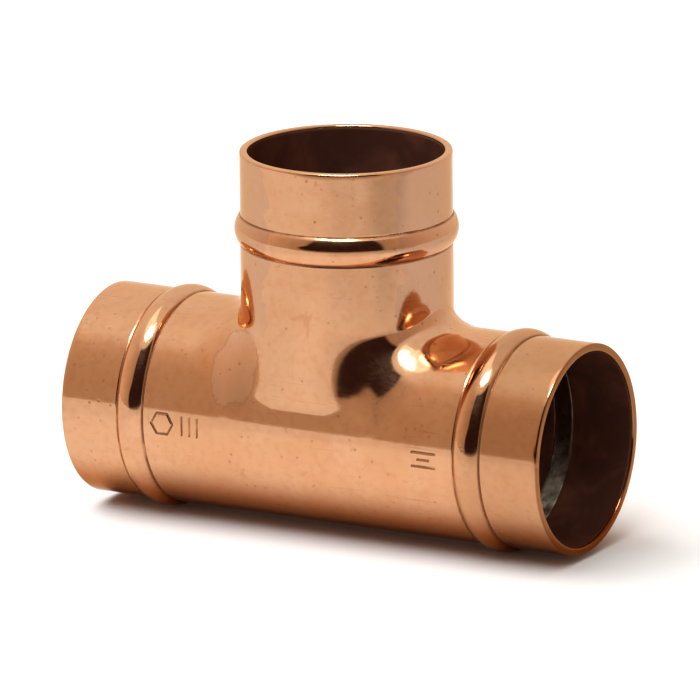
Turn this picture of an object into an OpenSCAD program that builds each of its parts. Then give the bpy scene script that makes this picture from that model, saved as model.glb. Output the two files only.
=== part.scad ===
// Equal tee for 54 mm copper tube, with a ring of solder held in the bead of every socket.
// Millimetres. The run lies along X and the branch stands up along +Z.
// The origin is under the branch axis, level with the lowest point of the beads on the run.

/* [Sockets] */
// Radius of the socket bore that the tube slides into
bore_r = 27.08; // [26.9:0.01:27.3]
// Depth of a socket, from its mouth to the tube stop
socket_depth = 32; // [30:0.5:36]
// How far the tube stop stands in from the socket bore
stop_step = 0.8; // [0.4:0.1:1.6]
// Chamfer on the inner edge of a mouth
lead_in = 0.4; // [0.1:0.1:0.8]
// Rounding on the outer edge of a mouth
rim_r = 0.7; // [0.2:0.1:1]

/* [Body] */
// Thickness of the copper wall in the sockets
wall = 2.2; // [1.8:0.1:3]
// Middle of the tee to the mouth of either run socket
run_half = 74.5; // [72:0.5:90]
// Run axis to the mouth of the branch socket
branch_h = 76; // [72:0.5:90]

/* [Corner between branch and run] */
// Reach of the outside corner along the run at the sides of the branch
corner_side = 8; // [6:0.5:10]
// Reach of the outside corner along the run at the front and the back
corner_front = 21; // [14:1:24]
// Upper edge of the corner above the top of the run, at the sides
rise_side = 5.8; // [4:0.2:7]
// Upper edge of the corner above the top of the run, at the front and the back
rise_front = 1.7; // [1:0.1:3]

/* [Beads] */
// Mouth of a socket to the middle of its bead
bead_in = 21.8; // [20:0.1:24]
// Width of a bead on the outside
bead_w = 8; // [7:0.1:9]
// Height of a bead above the socket
bead_h = 1.6; // [1.2:0.1:1.8]

/* [Solder rings] */
// How far a solder ring lies below the socket bore
ring_sink = 0.2; // [0.1:0.05:0.4]
// Space between a solder ring and the wall of its groove
ring_gap = 0.03; // [0.02:0.01:0.1]
// Opening between the two ends of a solder ring
ring_split = 1.6; // [0.6:0.1:4]

/* [Stamped mark] */
// Depth of the stamped lines
mark_depth = 0.25; // [0.1:0.05:0.4]
// Width of the stamped lines
mark_line = 0.5; // [0.3:0.1:1]

/* [Hidden] */
// Outer radius of the run and the branch
outer_r = bore_r + wall;
// Outer radius of a bead
bead_r = outer_r + bead_h;
// Radius of the arc that makes a bead
arc_r = (bead_w * bead_w / 4 + bead_h * bead_h) / (2 * bead_h);
// Distance from a socket's axis to the centre of its bead's arc
arc_c = bead_r - arc_r;
// Radius of the groove inside a bead
groove_r = arc_r - wall;
// Bore of the waterway behind the tube stops
water_r = bore_r - stop_step;
// Height of the run axis above the base
axis_z = bead_r;
// Angle that the split of a solder ring takes out
split_a = ring_split / bore_r * 180 / PI;
// How far the corner is sunk below tangent, so that it crosses the walls
sink = 0.1;
// Steps along the corner and across it
steps_u = 26;
steps_v = 6;
// First angle of the corner, where it is all but level with the front of the run
corner_a = 2;
// Sides of the round shapes
fn = 48;

// Half outline of one leg, from the middle of the tee to its mouth
module leg_2d(len) {
  square([outer_r - rim_r, len]);
  square([outer_r, len - rim_r]);
  translate([outer_r - rim_r, len - rim_r]) circle(r = rim_r, $fn = 16);
  intersection() {
    translate([arc_c, len - bead_in]) circle(r = arc_r, $fn = 40);
    translate([0, len - bead_in - bead_w]) square([bead_r + 1, 2 * bead_w]);
  }
}

// Half outline of the space inside one leg
module hollow_2d(len) {
  square([water_r, len + 2]);
  translate([0, len - socket_depth]) square([bore_r, socket_depth + 2]);
  intersection() {
    translate([arc_c, len - bead_in]) circle(r = groove_r, $fn = 32);
    translate([0, len - bead_in - bead_w]) square([bead_r, 2 * bead_w]);
  }
  polygon([[0, len - lead_in], [bore_r, len - lead_in], [bore_r + lead_in + 2, len + 2], [0, len + 2]]);
}

// The run as one turned solid, both ends
module run_solid() {
  rotate([0, 90, 0]) rotate_extrude($fn = fn) {
    leg_2d(run_half);
    mirror([0, 1]) leg_2d(run_half);
  }
}

// The space through the run
module run_hollow() {
  rotate([0, 90, 0]) rotate_extrude($fn = fn) {
    hollow_2d(run_half);
    mirror([0, 1]) hollow_2d(run_half);
  }
}

// Smooth step of x from 0 to 1
function ease(x) = min(1, x) * min(1, x) * (3 - 2 * min(1, x));

// Reach of the corner along the run and its upper edge, at angle a round the branch; 90 is a side
function reach(a) = corner_side + (corner_front - corner_side) * max(0, (abs(cos(a)) - 0.25) / 0.75);
function rise(a) = rise_side + (rise_front - rise_side) * ease(abs(cos(a)) / 0.6);

// Corner points of one upright section on walls of radius rr: root, two buried feet, a quarter ellipse.
// m is where the two walls cross, f and g are the reach along the run and up the branch from there.
function section(a, rr) = let(
  m = rr * sin(a),
  y = rr * cos(a),
  f = outer_r - rr + reach(a),
  g = outer_r - rr + rise(a) + rr * (1 - sin(a))
) concat(
  [[m - 1, y, m - 1], [m + f, y, m - 1]],
  [for (t = [0:90 / steps_v:90]) [m - sink + f * (1 - sin(t)), y, m - sink + g * (1 - cos(t))]],
  [[m - 1, y, m + g]]
);

// Rounded corner between the branch and the right half of the run, on walls of radius rr
module crotch(rr) {
  k = steps_v + 4;
  points = [for (i = [0:steps_u]) each section(corner_a + (180 - 2 * corner_a) * i / steps_u, rr)];
  sides = [for (i = [0:steps_u - 1], j = [0:k - 1]) each [
    [i * k + j, (i + 1) * k + j, i * k + (j + 1) % k],
    [i * k + (j + 1) % k, (i + 1) * k + j, (i + 1) * k + (j + 1) % k]
  ]];
  first = [for (j = [1:k - 2]) [0, j, j + 1]];
  last = [for (j = [1:k - 2]) [steps_u * k, steps_u * k + j + 1, steps_u * k + j]];
  polyhedron(points = points, faces = concat(sides, first, last));
}

// The same corner on both sides of the branch
module crotches(rr) {
  crotch(rr);
  mirror([1, 0, 0]) crotch(rr);
}

// Plain mark left of the branch: a hexagon outline and three bars
module mark_left_2d() {
  translate([-5, 0]) difference() {
    circle(r = 3.6, $fn = 6);
    circle(r = 3.6 - mark_line, $fn = 6);
  }
  for (i = [0:2]) translate([1 + 2.4 * i, -2.6]) square([mark_line, 5.2]);
}

// Plain mark right of the branch: two long bars with a short one between them
module mark_right_2d() {
  translate([-3.6, 1.6]) square([7.2, mark_line]);
  translate([-1.8, -0.4]) square([3.6, mark_line]);
  translate([-3.6, -2.4]) square([7.2, mark_line]);
}

// Both marks as cutters that reach mark_depth into the front of the run
module marks() {
  intersection() {
    rotate([90, 0, 0]) linear_extrude(outer_r + 4) {
      translate([-37.5, 0]) mark_left_2d();
      translate([39.5, 0]) mark_right_2d();
    }
    rotate([0, 90, 0]) difference() {
      cylinder(r = outer_r + 2, h = 100, center = true, $fn = fn);
      cylinder(r = outer_r - mark_depth, h = 102, center = true, $fn = fn);
    }
  }
}

// Seamless pressed copper body: the run, the branch, a bead and a socket at every end
module tee_body() {
  color("#d9956c") translate([0, 0, axis_z]) difference() {
    union() {
      run_solid();
      rotate_extrude($fn = fn) leg_2d(branch_h);
      crotches(outer_r);
    }
    run_hollow();
    rotate_extrude($fn = fn) hollow_2d(branch_h);
    crotches(water_r);
    marks();
  }
}

// One split ring of solder about Z, at the height of the bead of a leg of this length
module ring(len) {
  rotate([0, 0, split_a / 2]) rotate_extrude(angle = 360 - split_a, $fn = fn) {
    intersection() {
      translate([arc_c, len - bead_in]) circle(r = groove_r - ring_gap, $fn = 32);
      translate([bore_r + ring_sink, len - bead_in - bead_w]) square([bead_h + wall, 2 * bead_w]);
    }
  }
}

// Solder ring in the left run socket, its split at the top
module solder_ring_left() {
  color("#a9a69c") translate([0, 0, axis_z]) rotate([0, -90, 0]) ring(run_half);
}

// Solder ring in the right run socket, its split at the bottom
module solder_ring_right() {
  color("#a9a69c") translate([0, 0, axis_z]) rotate([0, 90, 0]) ring(run_half);
}

// Solder ring in the branch socket, its split to the right
module solder_ring_branch() {
  color("#a9a69c") translate([0, 0, axis_z]) ring(branch_h);
}

tee_body();
solder_ring_left();
solder_ring_right();
solder_ring_branch();
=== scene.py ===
import math
import bmesh
import bpy
import numpy as np
from mathutils import Matrix, Vector, noise


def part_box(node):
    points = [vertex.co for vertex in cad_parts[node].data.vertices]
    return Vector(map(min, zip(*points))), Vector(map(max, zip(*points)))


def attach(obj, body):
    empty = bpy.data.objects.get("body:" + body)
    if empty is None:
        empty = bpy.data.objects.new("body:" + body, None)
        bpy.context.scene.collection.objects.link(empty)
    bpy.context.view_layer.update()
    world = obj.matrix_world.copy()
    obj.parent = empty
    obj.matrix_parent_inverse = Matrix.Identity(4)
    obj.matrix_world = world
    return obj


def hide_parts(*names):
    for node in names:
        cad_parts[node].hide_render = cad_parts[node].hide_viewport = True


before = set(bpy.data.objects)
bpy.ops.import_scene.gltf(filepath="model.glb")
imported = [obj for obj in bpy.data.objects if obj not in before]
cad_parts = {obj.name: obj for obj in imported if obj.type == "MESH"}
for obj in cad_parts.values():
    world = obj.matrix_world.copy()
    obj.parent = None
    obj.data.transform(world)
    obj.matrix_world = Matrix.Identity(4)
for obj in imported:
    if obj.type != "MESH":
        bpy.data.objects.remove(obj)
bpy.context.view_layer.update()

# ---------------------------------------------------------------- sizes of the CAD model, mm
_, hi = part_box("tee_body")
HALF = round(hi.x * 1000, 1)           # middle of the tee to a run mouth
BORE = 27.08                           # socket radius
WALL = 2.2                             # wall of a socket
R = BORE + WALL                        # outside of run and branch
BEAD_H, BEAD_W, BEAD_IN = 1.6, 8.0, 21.8               # a bead's height and width, and place from the mouth
AXIS = R + BEAD_H                      # height of the run axis
BRANCH = round(hi.z * 1000 - AXIS, 1)  # run axis to the branch mouth
STOP, STOP_STEP = 32.0, 0.8            # depth of a socket, and how far its tube stop stands in
WATER = BORE - STOP_STEP               # bore behind the tube stops
BEND_SIDE, BEND_FRONT = 8.0, 21.0      # reach of the corner along the run: at the sides, at the front
TOP_SIDE, TOP_FRONT = 5.8, 1.7         # its upper edge above the top of the run: the same two places
RHO = (BEAD_W ** 2 / 4 + BEAD_H ** 2) / (2 * BEAD_H)   # arc of a bead
ARC_C = R + BEAD_H - RHO               # its centre, from the socket's axis
RING_SINK, RING_GAP = 0.2, 0.03        # a solder ring below the bore, and clear of its groove
RING_SPLIT = 1.6                       # opening between the two ends of a solder ring
MARK_W = 0.5                           # width of the stamped lines
MARK_LEFT, MARK_RIGHT = -37.5, 39.5    # middles of the two stamped marks along the run
HEX_AT, HEX_R = -5.0, 3.6              # hexagon of the left mark, from its middle
BAR_AT, BAR_STEP, BAR_HALF = 1.25, 2.4, 2.5            # first upright bar, spacing, half length
LEVEL_AT, LEVEL_STEP = 1.85, -2.0                      # first level bar of the right mark, spacing
LEVEL_HALF = (3.5, 1.7, 3.5)                           # half lengths of its three bars

# ---------------------------------------------------------------- sizes only this model has, mm
EDGE, LEAD = 0.6, 0.45                 # outer and inner rounding of a mouth
RIM_MID = 0.95                         # middle of a mouth's rim face, from the bore
STOP_FOOT, STOP_EDGE = 0.3, 0.2        # roundings at the foot and on the edge of a tube stop
GROOVE_LIP = 0.15                      # flat of the bore beside the edge of a groove
CLOSE = 0.8                            # close rows of points beside a bead, for its creases
AFTER_BEAD, AFTER_STOP = 2.7, 1.5      # length of a leg's fixed rows behind its bead, and behind its stop
OXIDE_FROM = 0.3                       # depth inside a mouth where the dark oxide starts
CREASE_W, CREASE_D = 0.4, 0.13         # line along each foot of a bead
MARK_D = 0.2                           # depth of the stamped lines
FIELD_LEFT, FIELD_RIGHT, FIELD_UP = 9.8, 5.5, 4.6      # half sizes of the fields refined for the marks
ROOT_D = 1.1                           # how far the branch is drawn in at its root, front and back
LUMP = 0.14                            # lumps on the inner face of a solder ring
STEPS = 128                            # steps round half a leg
MIDDLE = 8                             # steps from the foot of the corner to the middle of the tee


def arc(cs, cr, rad, angles):
    """Points (s, r) on a circle; angles in degrees, 0 along +s and 90 along +r."""
    return [(cs + rad * math.cos(math.radians(a)), cr + rad * math.sin(math.radians(a))) for a in angles]


def line(s0, s1, r, n):
    """n points from s0 to s1 at radius r, leaving out both ends."""
    return [(s, r) for s in np.linspace(s0, s1, n + 2)[1:-1]]


def smooth(x):
    """Smooth step of x from 0 to 1."""
    x = min(1.0, max(0.0, x))
    return x * x * (3 - 2 * x)


def outer_leg(length):
    """Outside of one leg as rows (s, r, crease, oxide), from the middle of the rim face in past the bead."""
    b, half = length - BEAD_IN, BEAD_W / 2
    s_end = b - half - AFTER_BEAD
    foot = math.degrees(math.asin((RHO - BEAD_H) / RHO))
    pts = [(length, BORE + RIM_MID)] + arc(length - EDGE, R - EDGE, EDGE, np.linspace(0, 90, 6))
    pts += line(length - EDGE, b + half + CLOSE - 0.1, R, 13)
    pts += line(b + half + CLOSE, b + half, R, 5)
    near = [foot + 1.2 * k for k in range(4)]
    over = list(np.linspace(foot + 5.5, 174.5 - foot, 15))
    pts += arc(b, ARC_C, RHO, near + over + [180 - a for a in near[::-1]])
    pts += line(b - half, b - half - CLOSE, R, 5)
    pts += line(b - half - CLOSE + 0.1, s_end, R, 2) + [(s_end, R)]
    out = []
    for s, r in pts:
        crease = smooth(1.2 - abs(abs(s - b) - half) / CREASE_W)
        out.append((s, r - CREASE_D * crease, crease, 0))
    return out


def inner_leg(length):
    """Inside of one leg as rows (s, r, crease, oxide), from the middle of the rim face in past the stop."""
    b, g = length - BEAD_IN, RHO - WALL
    lip = math.degrees(math.asin((BORE - ARC_C) / g))
    reach = g * math.cos(math.radians(lip)) + GROOVE_LIP
    pts = [(length, BORE + RIM_MID), (length, BORE + LEAD + 0.05)]
    pts += arc(length - LEAD, BORE + LEAD, LEAD, [-30, -60, -90])
    pts += line(length - LEAD, length - 2, BORE, 3)
    pts += line(length - 2, b + reach, BORE, 6) + [(b + reach, BORE)]
    pts += arc(b, ARC_C, g, np.linspace(lip + 3, 177 - lip, 13))
    stop = length - STOP
    pts += [(b - reach, BORE)] + line(b - reach, stop + STOP_FOOT, BORE, 3)
    pts += arc(stop + STOP_FOOT, BORE - STOP_FOOT, STOP_FOOT, [90, 135, 180])
    pts += arc(stop - STOP_EDGE, WATER + STOP_EDGE, STOP_EDGE, [0, -45, -90])
    pts += [(stop - AFTER_STOP, WATER)]
    return [(s, r, 0, smooth(length - s - OXIDE_FROM)) for s, r in pts]


def tee_skin(rad, extra, leg, leg_b, dyn, across):
    """Vertices (x, y, z, crease, oxide) and quads of a tee whose walls have radius rad.

    leg and leg_b run from the mouth in to a fixed end; dyn steps lead from there to the foot of the
    corner. The corner is a quarter ellipse in every plane across Y, in this many steps across and extra
    larger than outside, with a flat gusset at front and back.
    """
    verts, quads = [], []
    leg, leg_b = np.array(leg, float), np.array(leg_b, float)
    t = np.linspace(0, 1, dyn + 1)[1:]
    turn = np.radians(np.linspace(0, 90, across + 1))

    def add(grid, flip):
        base, (n, m) = len(verts), grid.shape[:2]
        verts.extend(map(tuple, grid.reshape(-1, 5)))
        for i in range(n - 1):
            for j in range(m - 1):
                a = base + i * m + j
                q = (a, a + 1, a + m + 1, a + m)
                quads.append(q[::-1] if flip else q)

    def rows_to(table, end):
        """One leg's rows, then dyn rows from its last s to end."""
        more = np.tile(table[-1], (dyn, 1))
        more[:, 0] = table[-1, 0] + (end - table[-1, 0]) * t
        more[:, 1] = rad
        return np.concatenate([table, more])

    def reach(k):
        """How far the corner goes past the crossing of the walls: along the run, up the branch."""
        run = BEND_SIDE + (BEND_FRONT - BEND_SIDE) * max(0.0, (abs(k) - 0.25) / 0.75)
        top = TOP_SIDE + (TOP_FRONT - TOP_SIDE) * smooth(abs(k) / 0.6)
        return extra + run, extra + top + rad * (1 - math.sqrt(max(0.0, 1 - k * k)))

    oxide = leg[-1, 3]
    for side in (1, -1):
        strips = []
        for a in np.linspace(0, math.pi, STEPS + 1):
            s, k = math.sin(a), math.cos(a)
            f, g = reach(k)
            w = rows_to(leg, rad * s + f)
            run = np.stack([side * w[:, 0], w[:, 1] * k, w[:, 1] * s, w[:, 2], w[:, 3]], 1)
            w = rows_to(leg_b, rad * s + g)
            up = np.stack([side * w[:, 1] * s, w[:, 1] * k, w[:, 0], w[:, 2], w[:, 3]], 1)[::-1]
            mid = []
            for u in turn[1:-1]:
                x, z = rad * s + f - f * math.sin(u), rad * s + g - g * math.cos(u)
                mid.append((side * x, rad * k, z, 0, oxide))
            strips.append(np.concatenate([run, np.array(mid), up]))
        add(np.array(strips), side < 0)
    span = np.linspace(1, 0, MIDDLE + 1)
    strips = []
    for a in np.linspace(0, -math.pi, STEPS + 1):
        s, k = math.sin(a), math.cos(a)
        w = rows_to(leg, reach(1)[0])
        centre = np.tile(w[-1], (MIDDLE, 1))
        centre[:, 0] *= span[1:]
        w = np.concatenate([w, centre])
        half = np.stack([w[:, 0], w[:, 1] * k, w[:, 1] * s, w[:, 2], w[:, 3]], 1)
        strips.append(np.concatenate([half, (half * [-1, 1, 1, 1, 1])[::-1][1:]]))
    add(np.array(strips), True)
    f, g = reach(1)
    for y in (rad, -rad):
        gusset = []
        for u in turn:
            x, z = f - f * math.sin(u), g - g * math.cos(u)
            gusset.append([(x * w, y, z, 0, oxide) for w in np.concatenate([span, -span[::-1][1:]])])
        add(np.array(gusset), y < 0)
    return verts, quads


def mark_strokes():
    """Centre lines (x0, z0, x1, z1) of the two plain stamped marks."""
    corner = arc(MARK_LEFT + HEX_AT, 0, HEX_R - MARK_W / 2, range(0, 361, 60))
    out = [(*p, *q) for p, q in zip(corner, corner[1:])]
    for i, half in enumerate(LEVEL_HALF):
        x = MARK_LEFT + BAR_AT + BAR_STEP * i
        z = LEVEL_AT + LEVEL_STEP * i
        out.append((x, -BAR_HALF, x, BAR_HALF))
        out.append((MARK_RIGHT - half, z, MARK_RIGHT + half, z))
    return out


def stroke_distance(x, z, strokes):
    """Distance from a point on the front to the nearest stroke."""
    best = math.inf
    for x0, z0, x1, z1 in strokes:
        dx, dz = x1 - x0, z1 - z0
        t = min(1.0, max(0.0, ((x - x0) * dx + (z - z0) * dz) / (dx * dx + dz * dz)))
        best = min(best, math.hypot(x - x0 - t * dx, z - z0 - t * dz))
    return best


def refine_marks(bm):
    """Split the faces under the marks finely enough to press the strokes into them."""
    def under(v):
        along = abs(v.x - MARK_LEFT) < FIELD_LEFT or abs(v.x - MARK_RIGHT) < FIELD_RIGHT
        return along and v.y < 0 and abs(v.z) < FIELD_UP and math.hypot(v.y, v.z) > R - 0.2

    # the long edges along the run are cut once more than the others
    for along_only in (True, False):
        edges = {e for f in bm.faces if under(f.calc_center_median()) for e in f.edges}
        if along_only:
            edges = {e for e in edges if abs(e.verts[0].co.x - e.verts[1].co.x) > 0.9}
        bmesh.ops.subdivide_edges(bm, edges=list(edges), cuts=3, use_grid_fill=True)
    return [v for v in bm.verts if under(v.co)]


def wave(p, height, lx, ly, lz, seed=0):
    """Noise of this height with features of these lengths, mm."""
    return height * noise.noise(Vector((p.x / lx, p.y / ly, p.z / lz + seed)))


def waviness(p):
    """How far the drawn copper stands off its true shape; the formed branch is the less even part."""
    up = smooth((p.z - 26) / 14)
    run = wave(p, 0.02, 30, 14, 14) + wave(p, 0.004, 6, 5, 5, 40)
    branch = wave(p, 0.055, 10, 10, 13, 7) + wave(p, 0.014, 4, 4, 5, 90)
    return run + up * (branch - run)


def draw_in(x, y, z):
    """y of a point of the outside once the branch is drawn in at its root, down to the run's own wall.

    It fades out up the branch by z = 50, along the run by x = 24 and towards the sides by y = 10.
    """
    depth = ROOT_D * smooth((50 - z) / 36) * smooth((24 - abs(x)) / 12) * smooth((abs(y) - 10) / 12)
    if z <= 0 or depth == 0:
        return y
    run = math.sqrt(max(0.0, R * R - z * z))
    free = abs(y) - depth
    return math.copysign(min(abs(y), (run + free + math.hypot(run - free, 0.12)) / 2), y)


def build_tee():
    """The whole copper body as one closed shell, outside and inside joined at the three rims."""
    outer = tee_skin(R, 0, outer_leg(HALF), outer_leg(BRANCH), dyn=20, across=24)
    inner = tee_skin(WATER, R - WATER, inner_leg(HALF), inner_leg(BRANCH), dyn=6, across=8)
    bm = bmesh.new()
    crease = bm.verts.layers.float.new("crease")
    oxide = bm.verts.layers.float.new("oxide")
    mark = bm.verts.layers.float.new("mark")
    for flip, (verts, quads) in enumerate((outer, inner)):
        made = []
        for x, y, z, c, o in verts:
            v = bm.verts.new((x, y if flip else draw_in(x, y, z), z))
            v[crease], v[oxide] = c, o
            made.append(v)
        for q in quads:
            bm.faces.new([made[i] for i in (q[::-1] if flip else q)])
    bmesh.ops.remove_doubles(bm, verts=bm.verts, dist=1e-4)
    bmesh.ops.dissolve_degenerate(bm, edges=bm.edges, dist=1e-5)
    strokes = mark_strokes()
    for v in refine_marks(bm):
        depth = smooth(1.3 - stroke_distance(v.co.x, v.co.z, strokes) / (0.7 * MARK_W))
        scale = (R - MARK_D * depth) / math.hypot(v.co.y, v.co.z)
        v.co.y *= scale
        v.co.z *= scale
        v[mark] = depth
    bmesh.ops.recalc_face_normals(bm, faces=bm.faces)
    bm.normal_update()
    moves = [(v, v.normal * waviness(v.co)) for v in bm.verts if v[oxide] == 0]
    for v, move in moves:
        v.co += move
    for f in bm.faces:
        f.smooth = True
    print("tee: verts", len(bm.verts), "open edges", sum(not e.is_manifold for e in bm.edges))
    return bm


def solder_ring(length, seed):
    """Split ring of soft solder in the groove of a bead: section on the groove's arc, lumpy inner face."""
    b, g = length - BEAD_IN, RHO - WALL - RING_GAP
    face = BORE + RING_SINK
    lip = math.degrees(math.asin((face - ARC_C) / g))
    section = arc(b, ARC_C, g, np.linspace(lip, 180 - lip, 13))
    width = g * math.cos(math.radians(lip))
    section += line(b - width, b + width, face, 7)
    mid_r = face + 0.45                # the sections at the ends shrink towards this radius
    steps, split = 200, RING_SPLIT / 2 / BORE
    bm = bmesh.new()
    rings = []
    for i in range(steps + 1):
        a = split + (2 * math.pi - 2 * split) * i / steps
        # the last few sections at either end are smaller, which rounds the ends off
        end = min(i, steps - i)
        size = 1.0 if end > 3 else (0.62, 0.82, 0.93, 0.98)[end]
        ring = []
        for s, r in section:
            s, r = b + (s - b) * size, mid_r + (r - mid_r) * size
            if abs(r - face) < 0.3:
                lump = noise.noise(Vector((s / 2.2, 8 * math.cos(a), 8 * math.sin(a) + seed)))
                lump += 0.5 * noise.noise(Vector((s, 20 * math.cos(a), 20 * math.sin(a) + seed)))
                r += LUMP * lump
            ring.append(bm.verts.new((r * math.cos(a), r * math.sin(a), s)))
        rings.append(ring)
    n = len(section)
    for p, q in zip(rings, rings[1:]):
        for j in range(n):
            bm.faces.new((p[j], q[j], q[(j + 1) % n], p[(j + 1) % n]))
    bm.faces.new(rings[0])
    bm.faces.new(rings[-1][::-1])
    bmesh.ops.recalc_face_normals(bm, faces=bm.faces)
    for f in bm.faces:
        f.smooth = True
    return bm


def place(name, bm, turn, node):
    """Make an object of a mesh in mm about the axes' crossing, standing for a CAD node."""
    me = bpy.data.meshes.new(name)
    bm.to_mesh(me)
    bm.free()
    me.transform(Matrix.Translation((0, 0, AXIS * 0.001)) @ turn @ Matrix.Scale(0.001, 4))
    o = bpy.data.objects.new(name, me)
    bpy.context.scene.collection.objects.link(o)
    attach(o, "root")
    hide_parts(node)
    return o


# ---------------------------------------------------------------- materials
# linear colours; the dim branch colour, the rim and underside tints and part of the flux colour paint
# reflection and shade
COPPER, COPPER_CLOUD = (0.78, 0.42, 0.23, 1), (0.75, 0.375, 0.19, 1)
COPPER_FINE, COPPER_REFLECTION_DIM = (0.68, 0.32, 0.16, 1), (0.6, 0.34, 0.22, 1)
SOCKET_TINT, RIM_SHADE = (0.78, 0.75, 0.7, 1), (0.55, 0.42, 0.34, 1)
UNDERSIDE_SHADE, EDGE_TINT = (0.52, 0.23, 0.08, 1), (1, 0.8, 0.6, 1)
STAIN_PALE, STAIN_RIM, STAIN_BROWN = (0.8, 0.5, 0.34, 1), (0.42, 0.18, 0.08, 1), (0.62, 0.27, 0.12, 1)
SCRATCH, HOLLOW_DARK = (0.45, 0.2, 0.1, 1), (0.16, 0.055, 0.022, 1)
OXIDE_DARK, OXIDE_RED = (0.09, 0.033, 0.021, 1), (0.17, 0.06, 0.036, 1)
SOLDER, SOLDER_DULL, FLUX_AND_SHADE = (0.8, 0.77, 0.64, 1), (0.42, 0.36, 0.26, 1), (0.1, 0.05, 0.03, 1)
FLOOR, FLOOR_GRAIN, BLACK = (0.93, 0.93, 0.93, 1), (0.95, 0.95, 0.945, 1), (0, 0, 0, 1)

# where the looks change, from and to, m; some of these bound painted reflection and shade on the branch, the
# right rim, the underside and the solder
REFLECTION_DIM_Z = (0.055, 0.066)                # the branch above its root
SOCKET_X, RIM_SHADE_X = (0.044, 0.056), (0.0739, 0.0744)     # the right socket and its rim
UNDERSIDE_SHADE_Z = (0.019, 0.006)
SOLDER_SHADE_Z = (0.014, 0.03)
STAIN_AT, STAIN_R = (-0.021, -0.024, 0.048), 0.012     # middle and radius of the water stain
BRIGHT_TURN = 0.34                     # middle of the front of the branch, left bright by the painted reflection, radians from -Y


class Tree:
    """Short calls for building a node tree."""

    def __init__(self, tree):
        self.tree = tree

    def add(self, kind, values=(), out=0, **props):
        """One output of a new node. values are numbers, colours or other outputs, by place or by name."""
        n = self.tree.nodes.new("ShaderNode" + kind)
        for k, v in props.items():
            setattr(n, k, v)
        for key, v in (values.items() if isinstance(values, dict) else enumerate(values)):
            if isinstance(v, bpy.types.NodeSocket):
                self.tree.links.new(v, n.inputs[key])
            elif v is not None:
                n.inputs[key].default_value = v
        return n.outputs[out]

    def math(self, op, a, b=0.0):
        return self.add("Math", (a, b), operation=op)

    def ramp(self, x, a, b, low=0.0, high=1.0):
        """Smooth step of x from a to b."""
        return self.add("MapRange", (x, a, b, low, high), interpolation_type="SMOOTHSTEP")

    def noise(self, at, scale, detail=2.0, rough=0.5, distort=0.0):
        return self.add("TexNoise", {"Vector": at, "Scale": scale, "Detail": detail, "Roughness": rough,
                                     "Distortion": distort})

    def mix(self, f, a, b, blend="MIX"):
        return self.add("Mix", {0: f, 6: a, 7: b}, out=2, data_type="RGBA", blend_type=blend)

    def stretch(self, at, scale, turn=(0, 0, 0)):
        return self.add("Mapping", {"Vector": at, "Scale": scale, "Rotation": turn})

    def split(self, at):
        """The x, y and z of a vector."""
        n = self.tree.nodes.new("ShaderNodeSeparateXYZ")
        self.tree.links.new(at, n.inputs[0])
        return n.outputs

    def feed(self, value, socket):
        self.tree.links.new(value, socket)


def new_material(name):
    """A material, its tree, its shader's inputs and the object's own coordinates, m."""
    m = bpy.data.materials.new(name)
    m.use_nodes = True
    t = Tree(m.node_tree)
    return m, t, m.node_tree.nodes["Principled BSDF"].inputs, t.add("TexCoord", out=3)


def copper_tone(t, at, cloud):
    """Colour of the polished copper: mottled; dimmer round the branch, a painted reflection; darker right
    end, with painted shade on its rim; browner below, a painted shade.
    """
    x, y, z = t.split(at)
    color = t.mix(cloud, COPPER, COPPER_CLOUD)
    fine = t.ramp(t.noise(at, 420, 3, 0.6), 0.42, 0.75, 0, 0.55)
    color = t.mix(fine, color, COPPER_FINE)
    # painted reflection: outside a band facing the front the branch is painted dimmer, so its front is
    # brighter than the rest of it, with a ragged edge
    turn = t.math("ARCTAN2", x, t.math("MULTIPLY", y, -1))
    off = t.math("ABSOLUTE", t.math("SUBTRACT", turn, BRIGHT_TURN))
    ragged = t.math("MULTIPLY", t.noise(t.stretch(at, (1, 1, 1.6)), 85, 3, 0.55), 0.5)
    reflection_dim = t.ramp(t.math("ADD", off, ragged), 0.925, 0.945)
    reflection_dim = t.math("MULTIPLY", reflection_dim, t.ramp(z, *REFLECTION_DIM_Z))
    color = t.mix(t.math("MULTIPLY", reflection_dim, 0.6), color, COPPER_REFLECTION_DIM)
    # the right socket is a little darker; its rim is painted darker still, a painted shade for the dark it
    # reflects
    color = t.mix(t.ramp(x, *SOCKET_X, 0, 0.85), color, SOCKET_TINT, "MULTIPLY")
    color = t.mix(t.ramp(x, *RIM_SHADE_X), color, RIM_SHADE, "MULTIPLY")
    # painted shade: browner and darker towards the bottom, for the shadowed floor the copper reflects
    return t.mix(t.ramp(z, *UNDERSIDE_SHADE_Z), color, UNDERSIDE_SHADE, "MULTIPLY")


def water_stain(t, at, color):
    """A pale water stain with a brown rim, left of the branch root."""
    away = t.add("VectorMath", (at, STAIN_AT), operation="SUBTRACT")
    away = t.add("VectorMath", (t.stretch(away, (1, 0.5, 0.62)),), out=1, operation="LENGTH")
    away = t.math("ADD", away, t.math("MULTIPLY", t.noise(at, 120, 4, 0.6), 0.009))
    inside = t.ramp(away, STAIN_R, STAIN_R - 0.0004)
    rim = t.math("MULTIPLY", inside, t.ramp(away, STAIN_R - 0.001, STAIN_R - 0.0002))
    color = t.mix(t.math("MULTIPLY", inside, 0.5), color, STAIN_PALE)
    return t.mix(t.math("MULTIPLY", rim, 0.45), color, STAIN_RIM)


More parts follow.
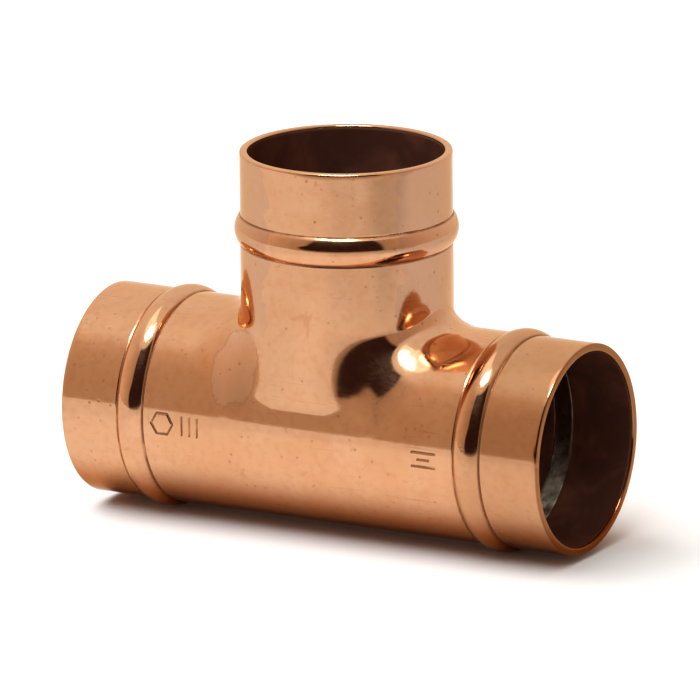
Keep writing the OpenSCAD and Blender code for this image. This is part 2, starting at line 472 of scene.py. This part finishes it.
def copper_material():
    m, t, out, at = new_material("copper")
    crease = t.add("Attribute", out=2, attribute_name="crease")
    oxide = t.add("Attribute", out=2, attribute_name="oxide")
    mark = t.add("Attribute", out=2, attribute_name="mark")
    cloud = t.ramp(t.noise(at, 55, 4, 0.6, 0.6), 0.35, 0.7)
    color = water_stain(t, at, copper_tone(t, at, cloud))
    # thin brown stains
    patch = t.ramp(t.noise(at, 130, 3, 0.65, 1.2), 0.64, 0.72, 0, 0.5)
    color = t.mix(patch, color, STAIN_BROWN)
    # specks and pits, in some places only
    speck = t.add("TexVoronoi", {"Vector": at, "Scale": 330.0}, out=0)
    pick = t.ramp(t.noise(at, 70, 3), 0.46, 0.6)
    pit = t.math("MULTIPLY", t.ramp(speck, 0.2, 0.06), pick)
    # fine scratches along the run
    scratch = t.noise(t.stretch(at, (0.03, 1, 1), (0, 0.03, 0.02)), 1300, 2, 0.5)
    some = t.ramp(t.noise(at, 45, 2), 0.45, 0.6, 0, 0.35)
    scratch = t.math("MULTIPLY", t.ramp(scratch, 0.66, 0.72), some)
    color = t.mix(scratch, color, SCRATCH)
    # dark lines in the creases and the stamped strokes, fainter in places, and dark pits
    patchy = t.ramp(t.noise(at, 160, 3, 0.6), 0.3, 0.55, 0.45, 1.0)
    lines = t.math("MULTIPLY", t.math("MAXIMUM", crease, mark), patchy)
    dark_marks = t.math("MAXIMUM", lines, t.math("MULTIPLY", pit, 0.5))
    color = t.mix(t.math("MULTIPLY", dark_marks, 0.85), color, HOLLOW_DARK)
    # the inside is left dark by annealing
    inner = t.ramp(t.noise(at, 60, 4, 0.6, 0.8), 0.35, 0.7)
    color = t.mix(oxide, color, t.mix(inner, OXIDE_DARK, OXIDE_RED))
    t.feed(color, out["Base Color"])
    # polish marks: long fine lines that only change the gloss
    brush = t.noise(t.stretch(at, (0.12, 1, 1)), 1500, 2, 0.6)
    gloss = t.math("ADD", t.ramp(brush, 0.35, 0.75, 0.065, 0.12), t.math("MULTIPLY", cloud, 0.03))
    gloss = t.math("ADD", gloss, t.math("MULTIPLY", patch, 0.12))
    gloss = t.math("MAXIMUM", gloss, t.math("MULTIPLY", dark_marks, 0.5))
    inner_gloss = t.ramp(cloud, 0, 1, 0.3, 0.42)
    t.feed(t.add("Mix", {0: oxide, 2: gloss, 3: inner_gloss}), out["Roughness"])
    # the oxide inside is only half metal and barely shines
    t.feed(t.ramp(oxide, 0, 1, 1.0, 0.45), out["Metallic"])
    t.feed(t.ramp(oxide, 0, 1, 0.5, 0.15), out["Specular IOR Level"])
    out["Specular Tint"].default_value = EDGE_TINT
    height = t.math("MULTIPLY", t.noise(at, 700, 3, 0.6), 0.35)
    height = t.math("ADD", height, t.math("MULTIPLY", pit, -2.0))
    height = t.math("ADD", height, t.noise(at, 190, 2))
    t.feed(t.add("Bump", {"Strength": 0.12, "Distance": 0.00006, "Height": height}), out["Normal"])
    return m


def solder_material():
    m, t, out, at = new_material("solder")
    cloud = t.noise(at, 240, 4, 0.6, 0.5)
    color = t.mix(t.ramp(cloud, 0.35, 0.7), SOLDER, SOLDER_DULL)
    # burnt flux in spots; from a little above the floor up the whole ring is painted dark as well, a painted
    # shade that leaves the bright solder showing only low down
    flux_and_shade = t.ramp(t.noise(at, 110, 3, 0.6), 0.45, 0.62, 0, 0.8)
    flux_and_shade = t.math("MAXIMUM", flux_and_shade, t.ramp(t.split(at)[2], *SOLDER_SHADE_Z, 0, 0.92))
    t.feed(t.mix(flux_and_shade, color, FLUX_AND_SHADE), out["Base Color"])
    t.feed(t.ramp(cloud, 0.3, 0.7, 0.24, 0.5), out["Roughness"])
    out["Metallic"].default_value = 1.0
    lumps = t.noise(at, 900, 4, 0.6)
    t.feed(t.add("Bump", {"Strength": 0.5, "Distance": 0.00015, "Height": lumps}), out["Normal"])
    return m


def floor_material():
    """Pale floor. The camera sees it even; in reflections its colour is painted darker in front and to the
    sides, a painted shade.
    """
    m, t, out, at = new_material("floor")
    x, y, _ = t.split(at)
    # painted shade, seen only in reflections: the floor's colour goes towards black in front and to the
    # sides
    front = t.math("MULTIPLY", t.ramp(y, -0.12, -0.28), t.ramp(x, -0.22, -0.05, 0, 0.2))
    sides = t.math("ADD", t.ramp(x, 0.09, 0.24, 0, 0.17), t.ramp(x, -0.1, -0.2, 0, 0.1))
    reflected_shade = t.math("ADD", t.math("ADD", front, sides), 0.2)
    seen = t.add("LightPath", out=0)
    reflected_shade = t.math("MULTIPLY", reflected_shade, t.math("SUBTRACT", 1.0, seen))
    grain = t.mix(t.ramp(t.noise(at, 900, 2), 0.3, 0.7), FLOOR, FLOOR_GRAIN)
    t.feed(t.mix(reflected_shade, grain, BLACK), out["Base Color"])
    out["Roughness"].default_value = 0.95
    out["Specular IOR Level"].default_value = 0.2
    return m


tee = place("tee_shell", build_tee(), Matrix.Identity(4), "tee_body")
tee.data.materials.append(copper_material())
solder = solder_material()
for name, length, seed, turn in (
    ("left", HALF, 3, Matrix.Rotation(math.radians(-90), 4, "Y")),
    ("right", HALF, 17, Matrix.Rotation(math.radians(90), 4, "Y")),
    ("branch", BRANCH, 29, Matrix.Identity(4)),
):
    ring = place("solder_" + name, solder_ring(length, seed), turn, "solder_ring_" + name)
    ring.data.materials.append(solder)

# ---------------------------------------------------------------- floor, studio, camera
VIEW_AZ, VIEW_EL, VIEW_ROLL = 29.362, 14.844, -0.552   # degrees
DIST, AIM_RIGHT, AIM_UP = 4000.0, 0.399, 18.456        # camera from the crossing of the axes, mm
LENS, SENSOR = 748.19314, 36.0                         # mm
FRONT, SIDE, BEHIND = 0.42, 0.9, 1.4                   # edges of the floor sheet, m

# the studio in degrees: azimuth from the viewing angle, elevation from the horizon
OPENING_AZ, OPENING_EL = (-42, 38), (-3, 56)
OPENING_OUT = 9                                        # how much further left it reaches low down
BOX_AZ, BOX_EL = (-170, 46), (63, 66)                  # overhead box: its sides, its soft lower edge
LAMP_AZ, LAMP_EL = (-60, 22), (67, 80)
DOME_AZ, DOME_EL = (-150, 10), (40, 85)                # bright part of what lights matt surfaces

# its light
CEILING, BELOW, OPENING = (0.9, 0.86, 0.8, 1), (0.82, 0.8, 0.77, 1), (0.03, 0.015, 0.015, 1)
BOX, LAMP = (1.7, 1.7, 1.68, 1), (26, 26, 25.3, 1)
DOME_DIM, DOME_BRIGHT, WHITE = (0.4, 0.3, 0.23, 1), (4.5, 4.6, 4.65, 1), (1, 1, 1, 1)
# walls from the front (0) to the back (1): place, brightness, warmth
WALL_LIGHT = ((0, 0.25, 1), (0.25, 0.41, 1), (0.5, 0.56, 1), (0.75, 0.72, 0.5), (1, 0.95, 0.1))


def lay_floor():
    floor = bpy.data.objects.new("floor", bpy.data.meshes.new("floor"))
    corners = [(-SIDE, -FRONT, 0), (SIDE, -FRONT, 0), (SIDE, BEHIND, 0), (-SIDE, BEHIND, 0)]
    floor.data.from_pydata(corners, [], [(0, 1, 2, 3)])
    floor.rotation_euler.z = math.radians(VIEW_AZ)
    floor.data.materials.append(floor_material())
    bpy.context.scene.collection.objects.link(floor)


def window(t, v, span, soft):
    """1 inside the span and 0 outside it, with edges this soft."""
    low, high = span
    return t.math("MULTIPLY", t.ramp(v, low - soft, low + soft), t.ramp(v, high + soft, high - soft))


def room(t, az, el):
    """What the copper reflects: warm walls, a dark opening in front, a box and a lamp overhead."""
    back = t.math("MULTIPLY", t.math("SUBTRACT", 1.0, t.math("COSINE", t.math("RADIANS", az))), 0.5)
    wall = t.tree.nodes.new("ShaderNodeValToRGB")
    while len(wall.color_ramp.elements) < len(WALL_LIGHT):
        wall.color_ramp.elements.new(0.5)
    for e, (pos, v, warm) in zip(wall.color_ramp.elements, WALL_LIGHT):
        e.position = pos
        e.color = ((1 + 0.34 * warm) * v, v, (1 - 0.26 * warm) * v, 1)
    t.feed(back, wall.inputs[0])
    # the walls give way to the ceiling above, and to the ground below the horizon
    color = t.mix(t.ramp(el, 47, 61), wall.outputs[0], CEILING)
    color = t.mix(t.ramp(el, -4, -14), color, BELOW)
    # the opening reaches further left from just under the horizon up to 24 degrees
    low = t.math("MULTIPLY", t.ramp(el, -6, 4, 0, OPENING_OUT), t.ramp(el, 24, 8))
    left, right = OPENING_AZ
    dark = t.ramp(t.math("ADD", az, low), left - 2, left + 2)
    dark = t.math("MULTIPLY", dark, t.ramp(az, right + 2.5, right - 2.5))
    dark = t.math("MULTIPLY", dark, window(t, el, OPENING_EL, 1))
    color = t.mix(dark, color, OPENING)
    box = t.math("MULTIPLY", t.ramp(el, *BOX_EL), window(t, az, BOX_AZ, 5))
    color = t.mix(box, color, BOX)
    lamp = t.math("MULTIPLY", window(t, az, LAMP_AZ, 4), window(t, el, LAMP_EL, 1))
    return t.mix(lamp, color, LAMP)


def dome(t, az, el):
    """What lights matt surfaces: a broad soft patch overhead, which keeps the shadow soft."""
    bright = t.math("MULTIPLY", window(t, az, DOME_AZ, 15), window(t, el, DOME_EL, 8))
    return t.mix(bright, DOME_DIM, DOME_BRIGHT)


def studio():
    """Light from the world: the room for reflections, the dome for matt surfaces, white for the camera."""
    world = bpy.data.worlds.new("studio")
    bpy.context.scene.world = world
    world.use_nodes = True
    t = Tree(world.node_tree)
    turn = {"Vector": t.add("TexCoord", out=0), "Axis": (0, 0, 1), "Angle": -math.radians(VIEW_AZ)}
    x, y, z = t.split(t.add("VectorRotate", turn))
    az = t.math("DEGREES", t.math("ARCTAN2", x, t.math("MULTIPLY", y, -1)))
    el = t.math("DEGREES", t.math("ARCSINE", z))
    # of a light path's outputs, 0 is a camera ray and 3 a glossy one
    seen, glossy = t.add("LightPath", out=0), t.add("LightPath", out=3)
    color = t.mix(glossy, dome(t, az, el), room(t, az, el))
    t.feed(t.mix(seen, color, WHITE), world.node_tree.nodes["Background"].inputs["Color"])


def aim_camera():
    az, el, roll = (math.radians(a) for a in (VIEW_AZ, VIEW_EL, VIEW_ROLL))
    back = Vector((math.sin(az) * math.cos(el), -math.cos(az) * math.cos(el), math.sin(el)))
    right = Vector((math.cos(az), math.sin(az), 0))
    up = back.cross(right)
    c, s = math.cos(roll), math.sin(roll)
    right, up = right * c + up * s, up * c - right * s
    cam = bpy.data.objects.new("camera", bpy.data.cameras.new("camera"))
    cam.data.sensor_width = SENSOR
    cam.data.lens = LENS
    cam.data.clip_end = 20
    spot = (back * DIST + right * AIM_RIGHT + up * AIM_UP + Vector((0, 0, AXIS))) * 0.001
    cam.matrix_world = Matrix.Translation(spot) @ Matrix((right, up, back)).transposed().to_4x4()
    bpy.context.scene.collection.objects.link(cam)
    bpy.context.scene.camera = cam


lay_floor()
studio()
aim_camera()
bpy.context.scene.view_settings.view_transform = "Standard"
